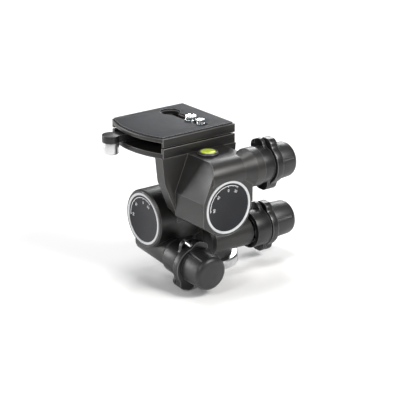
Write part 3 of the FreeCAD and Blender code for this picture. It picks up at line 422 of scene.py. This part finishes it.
def roundedEnd():
    # inset and rise of each step round the rim and then over the slightly crowned end
    s = knobSettings
    steps, caps, rim = s["roundSteps"], s["crownSteps"], s["endRound"]
    flat = s["endRadius"] - rim
    path = []
    for i in range(steps + 1):
        turn = math.pi / 2 * i / steps
        path.append((flat + rim * math.cos(turn), rim * math.sin(turn)))
    for i in range(1, caps):
        left = 1 - i / caps
        path.append((flat * left, rim + s["crown"] * (1 - left ** 2)))
    return [(a[0] - b[0], b[1] - a[1]) for a, b in zip(path, path[1:])]


def grooveCutters(name):
    s = knobSettings
    reach = (s["radius"] + s["grooveSink"]) * mm
    middle = (s["starts"][name] + s["grooveLength"] / 2 - s["grooveLead"]) * mm
    cutters = []
    for count in range(s["grooves"]):
        turn = math.radians(s["grooveTurns"][name] + 360 / s["grooves"] * count)
        deselectAll()
        bpy.ops.mesh.primitive_cylinder_add(
            vertices=s["grooveSides"], radius=s["grooveRadius"] * mm, depth=s["grooveLength"] * mm,
            location=(reach * math.cos(turn), reach * math.sin(turn), middle))
        cutters.append(bakePlace(added("grooveCutter")))
    return joinAll("grooveCutters", cutters)


def makeKnob(name):
    s = knobSettings
    start, length = s["starts"][name] * mm, s["lengths"][name] * mm
    straight = length - (s["endRound"] + s["crown"]) * mm
    deselectAll()
    bpy.ops.mesh.primitive_cylinder_add(vertices=s["sides"], radius=s["radius"] * mm, depth=straight,
                                        location=(0, 0, start + straight / 2))
    body = bakePlace(added(name + "Knob"))
    editFacing(body)
    bpy.ops.transform.resize(value=(s["endRadius"] / s["radius"],) * 2 + (1,))
    insetSteps(roundedEnd())
    endEdit()
    cutAway(body, grooveCutters(name))
    softenEdges(body, s["edge"], s["edgeSegments"], s["edgeAngle"])
    bakePlace(body, driveMatrix(name))
    smooth(body, s["edgeAngle"])
    setMaterial(body, finishes["gripRubber"])
    fit(body, name + "_drive", "grip_rubber", name + "_knob")


for driveName in driveNames:
    makeKnob(driveName)
print("stage: knobs made")


dialSettings = {
    "radius": 21.7, "thick": 1.8, "sides": 128, "rimRise": 0.5, "rimWide": 1.75, "rimSlope": 0.15,
    "edge": 0.15, "edgeSegments": 2, "edgeAngle": 40, "smoothAngle": 35,
    "arcShare": 0.835, "arcWide": 0.5, "arcFirst": 33, "arcLast": -93, "arcStep": 3,
    "tickShare": 0.765, "shortTick": 0.025, "tickFirst": 30, "tickLast": -90, "tickStep": 15, "tickWide": 0.4,
    "numberShare": 0.64, "numberSize": 3.2, "numberCurve": 4, "raise": 0.08,
    "numbers": {30: "30", 0: "0", -45: "45", -90: "90"},
    "dot": 0.42, "dotGap": 1.1, "dotThick": 0.3, "dotSides": 24, "merge": 0.002,
}
dialPlaces = {
    # name: body of the dial, body of the index dot, centre, way out, way to the right
    "tilt": ("pan", "tilt", (-61.0, 0, 51.0), (-1, 0, 0), (0, -1, 0)),
    "roll": ("tilt", "head", (-30.0, -73.0, 75.5), (0, -1, 0), (1, 0, 0)),
}


def dialMatrix(name):
    centre, out, right = (Vector(value) for value in dialPlaces[name][2:])
    up = out.cross(right)
    turn = Matrix((right, up, out)).transposed().to_4x4()
    return Matrix.Translation(centre * mm) @ turn


def clockPoint(angle, reach):
    # a point on the dial; angles run clockwise from the top
    turn = math.radians(90 - angle)
    return (reach * math.cos(turn), reach * math.sin(turn), 0)


def tickMark(angle):
    s = dialSettings
    radius = s["radius"] * mm
    inner = s["tickShare"] if angle in s["numbers"] else s["tickShare"] + s["shortTick"]
    deselectAll()
    bpy.ops.mesh.primitive_cube_add(size=1, location=clockPoint(angle, radius * (inner + s["arcShare"]) / 2),
                                    rotation=(0, 0, -math.radians(angle)))
    piece = added("tick")
    piece.scale = (s["tickWide"] * mm, radius * (s["arcShare"] - inner), s["raise"] * mm)
    return bakePlace(piece)


def scaleArc():
    # a thin raised band, turned out of one small block
    s = dialSettings
    outer = s["radius"] * s["arcShare"] * mm
    inner = outer - s["arcWide"] * mm
    sweep = s["arcLast"] - s["arcFirst"]
    count = int(abs(sweep) / s["arcStep"])
    start = math.radians(90 - s["arcFirst"])
    deselectAll()
    bpy.ops.mesh.primitive_cube_add(size=1)
    piece = added("arc")
    editFacing(piece, (0, 1, 0))
    endEdit()
    for vertex in piece.data.vertices:
        radius = outer if vertex.co.x > 0 else inner
        vertex.co = (radius * math.cos(start), radius * math.sin(start), vertex.co.z * s["raise"] * mm)
    bpy.ops.object.mode_set(mode="EDIT")
    for _ in range(count):
        bpy.ops.mesh.extrude_region_move()
        bpy.ops.transform.rotate(value=math.radians(sweep) / count, orient_axis="Z",
                                 center_override=(0, 0, 0))
    endEdit()
    editMerged(piece, s["merge"])
    bpy.ops.mesh.normals_make_consistent(inside=False)
    endEdit()
    return piece


def numberMark(text, angle):
    s = dialSettings
    deselectAll()
    bpy.ops.object.text_add(location=clockPoint(angle, s["radius"] * s["numberShare"] * mm),
                            rotation=(0, 0, math.radians(-angle)))
    mark = bpy.context.object
    mark.data.body = text
    mark.data.size = s["numberSize"] * mm
    mark.data.align_x = "CENTER"
    mark.data.align_y = "CENTER"
    mark.data.extrude = s["raise"] / 2 * mm
    mark.data.resolution_u = s["numberCurve"]
    bpy.ops.object.convert(target="MESH")
    return bakePlace(added("number" + text))


def makeDialFace(name, body, place):
    # a dark disc inside a raised pale ring; only the disc and the back are many-sided faces
    s = dialSettings
    deselectAll()
    bpy.ops.mesh.primitive_cylinder_add(vertices=s["sides"], radius=s["radius"] * mm,
                                        depth=(s["thick"] + s["rimRise"]) * mm,
                                        location=(0, 0, (s["rimRise"] - s["thick"]) / 2 * mm))
    face = bakePlace(added(name + "Dial"))
    editFacing(face)
    insetSteps(((s["rimWide"], 0), (s["rimSlope"], -s["rimRise"])))
    endEdit()
    setMaterial(face, finishes["dialFace"])
    face.data.materials.append(finishes["whiteRing"])
    for polygon in face.data.polygons:
        polygon.material_index = 1 if len(polygon.vertices) == 4 else 0
    softenEdges(face, s["edge"], s["edgeSegments"], s["edgeAngle"])
    bakePlace(face, place)
    smooth(face, s["smoothAngle"])
    fit(face, body, "dial_face", name + "_dial")


def makeDialScale(name, body, place):
    s = dialSettings
    marks = [scaleArc()]
    marks += [tickMark(angle) for angle in range(s["tickFirst"], s["tickLast"] - 1, -s["tickStep"])]
    marks += [numberMark(text, angle) for angle, text in s["numbers"].items()]
    scale = joinAll(name + "DialScale", marks)
    bakePlace(scale, place)
    setMaterial(scale, finishes["printWhite"])
    fit(scale, body, "dial_face")


def makeIndexDot(name, body, place):
    # stands on the housing above the ring, so it turns against the scale
    s = dialSettings
    deselectAll()
    bpy.ops.mesh.primitive_cylinder_add(vertices=s["dotSides"], radius=s["dot"] * mm,
                                        depth=s["dotThick"] * mm,
                                        location=clockPoint(0, (s["radius"] + s["dotGap"]) * mm))
    dot = bakePlace(added(name + "IndexDot"), place)
    setMaterial(dot, finishes["printWhite"])
    fit(dot, body, "dial_face")


for dialName, (dialBody, dotBody, *_) in dialPlaces.items():
    dialPlace = dialMatrix(dialName)
    makeDialFace(dialName, dialBody, dialPlace)
    makeDialScale(dialName, dialBody, dialPlace)
    makeIndexDot(dialName, dotBody, dialPlace)
print("stage: dials made")


screwSettings = {
    # radius, pitch and place along Y
    "large_screw": {"radius": 4.7625, "pitch": 1.5875, "y": -8.2},
    "small_screw": {"radius": 3.175, "pitch": 1.27, "y": -21.4},
}
threadSettings = {
    "x": -18.5, "low": 130.1, "high": 133.5, "sides": 64, "depthShare": 0.5, "lead": 0.3,
    "flankShare": 0.4, "crestShare": 0.15, "tipShrink": 0.94,
    "slotWide": 1.1, "slotDeep": 1.2, "slotTurn": 35, "slotReach": 3,
    "neckGap": 0.05, "smoothAngle": 30,
}


def makeThread(s):
    # the thread is shown as rings, one to a turn, not as a helix
    t = threadSettings
    root = 1 - s["pitch"] * t["depthShare"] / s["radius"]
    lead = t["lead"] * mm
    deselectAll()
    bpy.ops.mesh.primitive_cylinder_add(vertices=t["sides"], radius=s["radius"] * root * mm, depth=lead,
                                        location=(0, 0, t["low"] * mm + lead / 2))
    core = bakePlace(added("screwThread"))
    editFacing(core)
    turns = int((t["high"] - t["low"] - t["lead"]) / s["pitch"])
    step = ((t["high"] - t["low"]) * mm - lead) / turns
    lastFlank = 1 - t["flankShare"] - t["crestShare"]
    for turn in range(turns):
        shrink = root if turn < turns - 1 else t["tipShrink"]
        for rise, widen in ((t["flankShare"], 1 / root), (t["crestShare"], 1), (lastFlank, shrink)):
            bpy.ops.mesh.extrude_region_move(TRANSFORM_OT_translate={"value": (0, 0, step * rise)})
            bpy.ops.transform.resize(value=(widen, widen, 1))
    endEdit()
    return core


def driverSlot(s):
    t = threadSettings
    deselectAll()
    bpy.ops.mesh.primitive_cube_add(size=1, location=(0, 0, t["high"] * mm))
    slot = added("driverSlot")
    slot.scale = (s["radius"] * t["slotReach"] * mm, t["slotWide"] * mm, t["slotDeep"] * 2 * mm)
    bakePlace(slot)
    slot.data.transform(Matrix.Rotation(math.radians(t["slotTurn"]), 4, "Z"))
    return slot


def makeScrew(node):
    s, t = screwSettings[node], threadSettings
    core = makeThread(s)
    cutAway(core, driverSlot(s))
    neck = cadCopy(node, "screwNeck")
    neck.data.transform(Matrix.Translation((-t["x"] * mm, -s["y"] * mm, 0)))
    editMerged(neck)
    bpy.ops.mesh.bisect(plane_co=(0, 0, (t["low"] - t["neckGap"]) * mm), plane_no=(0, 0, 1),
                        clear_outer=True, use_fill=True)
    endEdit()
    whole = joinAll(pieceName(node), [neck, core])
    bakePlace(whole, Matrix.Translation((t["x"] * mm, s["y"] * mm, 0)))
    smooth(whole, t["smoothAngle"])
    setMaterial(whole, finishes["screwSteel"])
    fit(whole, bodyOf[node], "steel", node)


for screwNode in screwSettings:
    makeScrew(screwNode)
print("stage: screws made")


levelSettings = {
    "x": -30.0, "y": -46.5, "top": 116.0, "radius": 6.35, "sides": 64, "crownHeight": 0.9,
    "crown": ((0.35, 0.35), (0.6, 0.25), (1.2, 0.17), (1.4, 0.1), (1.3, 0.03)),
    "circle": 2.9, "line": 0.22, "lineSides": 8, "circleSink": 0.22,
    "bubble": 2.1, "bubbleRings": 16, "bubbleFlat": 0.12, "bubbleSink": 0.28, "bubbleShift": (-0.4, 0.3),
    "smoothAngle": 60,
}


def finishLevelPiece(piece, finish, slot, *replaced):
    smooth(piece, levelSettings["smoothAngle"])
    setMaterial(piece, finishes[finish])
    fit(piece, "head", slot, *replaced)


def makeLevel():
    s = levelSettings
    x, y = s["x"] * mm, s["y"] * mm
    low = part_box("level_vial")[0].z
    straight = (s["top"] - s["crownHeight"]) * mm - low
    deselectAll()
    bpy.ops.mesh.primitive_cylinder_add(vertices=s["sides"], radius=s["radius"] * mm, depth=straight,
                                        location=(0, 0, low + straight / 2))
    vial = bakePlace(added("levelVial"))
    editFacing(vial)
    insetSteps(s["crown"])
    endEdit()
    bakePlace(vial, Matrix.Translation((x, y, 0)))
    finishLevelPiece(vial, "levelGlass", "level_fluid", "level_vial")
    deselectAll()
    bpy.ops.mesh.primitive_torus_add(major_radius=s["circle"] * mm, minor_radius=s["line"] * mm,
                                     major_segments=s["sides"], minor_segments=s["lineSides"],
                                     location=(x, y, (s["top"] - s["circleSink"]) * mm))
    circle = bakePlace(added("levelCircle"))
    finishLevelPiece(circle, "moulded", "black_plastic")
    deselectAll()
    shiftX, shiftY = s["bubbleShift"]
    bpy.ops.mesh.primitive_uv_sphere_add(
        segments=s["sides"] // 2, ring_count=s["bubbleRings"], radius=s["bubble"] * mm,
        location=(x + shiftX * mm, y + shiftY * mm, (s["top"] - s["bubbleSink"]) * mm))
    bubble = added("levelBubble")
    bubble.scale = (1, 1, s["bubbleFlat"])
    bakePlace(bubble)
    finishLevelPiece(bubble, "bubbleClear", "level_fluid")


makeLevel()
print("stage: level made")


keptFinishes = {
    "steel": ["pan_spindle", "tilt_shaft", "tilt_nut", "roll_shaft", "roll_nut", "lever_pin"],
    "bronze": ["tilt_bushes", "roll_bushes"],
    "moulded": ["pan_thrust_washer", "pan_cover"],
    "springSteel": [],
}
for driveName in driveNames:
    keptFinishes["steel"] += [driveName + "_worm", driveName + "_sleeve", driveName + "_stop_pin"]
    keptFinishes["bronze"] += [driveName + "_wheel", driveName + "_worm_bushes"]
    keptFinishes["springSteel"] += [driveName + "_wing_spring"]
for finish, names in keptFinishes.items():
    for node in names:
        for holder in nodes[node].material_slots:
            holder.material = finishes[finish]
print("stage: kept nodes finished")


studioSettings = {
    # lengths in metres, but the lens and the sensor in millimetres; angles in degrees
    "floor": 8.0, "floorColor": (0.96, 0.96, 0.96), "floorRoughness": 0.85, "floorSpecular": 0.1,
    "worldColor": (1.0, 1.0, 1.0), "worldStrength": 0.22, "lampAim": (0, 0, 0.06),
    "cameraTurn": -37.2, "cameraRise": 20.0, "distance": 1.3, "lens": 139.32, "sensor": 36.0,
    "aimRight": -0.00223, "aimUp": 0.05393, "nearest": 0.01, "furthest": 50,
}
lampSettings = {
    # name: place and size in metres, power in watts, colour
    "keyLamp": ((0.35, -1.05, 1.05), 0.50, 17, (1.0, 0.99, 0.975)),
    "leftLamp": ((-1.15, -0.35, 0.80), 0.30, 5, (1.0, 1.0, 1.0)),
    "topLamp": ((0.05, 0.15, 1.2), 0.35, 5, (1.0, 0.99, 0.98)),
    "backLamp": ((0.9, 0.9, 0.8), 0.45, 9, (0.98, 0.99, 1.0)),
    "rearLeftLamp": ((-0.95, 1.05, 0.33), 0.6, 9, (1.0, 1.0, 1.0)),
}


def facing(way):
    return way.to_track_quat("-Z", "Y").to_euler()


def makeFloor():
    s = studioSettings
    deselectAll()
    bpy.ops.mesh.primitive_plane_add(size=s["floor"], location=(0, 0, 0))
    floor = added("studioFloor")
    paper = newMaterial("paperWhite", s["floorColor"], s["floorRoughness"], specular=s["floorSpecular"])[0]
    setMaterial(floor, paper)


def makeLights():
    s = studioSettings
    world = bpy.data.worlds.new("studioWorld")
    world.use_nodes = True
    sky = world.node_tree.nodes["Background"]
    sky.inputs["Color"].default_value = (*s["worldColor"], 1)
    sky.inputs["Strength"].default_value = s["worldStrength"]
    bpy.context.scene.world = world
    bpy.context.scene.view_settings.view_transform = "Standard"
    for name, (place, size, power, color) in lampSettings.items():
        bpy.ops.object.light_add(type="AREA", location=place)
        lamp = bpy.context.object
        lamp.name = name
        lamp.data.shape = "SQUARE"
        lamp.data.size = size
        lamp.data.energy = power
        lamp.data.color = color
        lamp.rotation_euler = facing(Vector(s["lampAim"]) - Vector(place))


def makeCamera():
    s = studioSettings
    turn, rise = math.radians(s["cameraTurn"]), math.radians(s["cameraRise"])
    right = Vector((math.cos(turn), math.sin(turn), 0))
    back = Vector((math.sin(turn) * math.cos(rise), -math.cos(turn) * math.cos(rise), math.sin(rise)))
    target = right * s["aimRight"] + Vector((0, 0, s["aimUp"]))
    bpy.ops.object.camera_add(location=target + back * s["distance"])
    camera = bpy.context.object
    camera.name = "photoCamera"
    camera.rotation_euler = facing(-back)
    camera.data.lens = s["lens"]
    camera.data.sensor_width = s["sensor"]
    camera.data.clip_start = s["nearest"]
    camera.data.clip_end = s["furthest"]
    bpy.context.scene.camera = camera


makeFloor()
makeLights()
makeCamera()
print("stage: studio made")
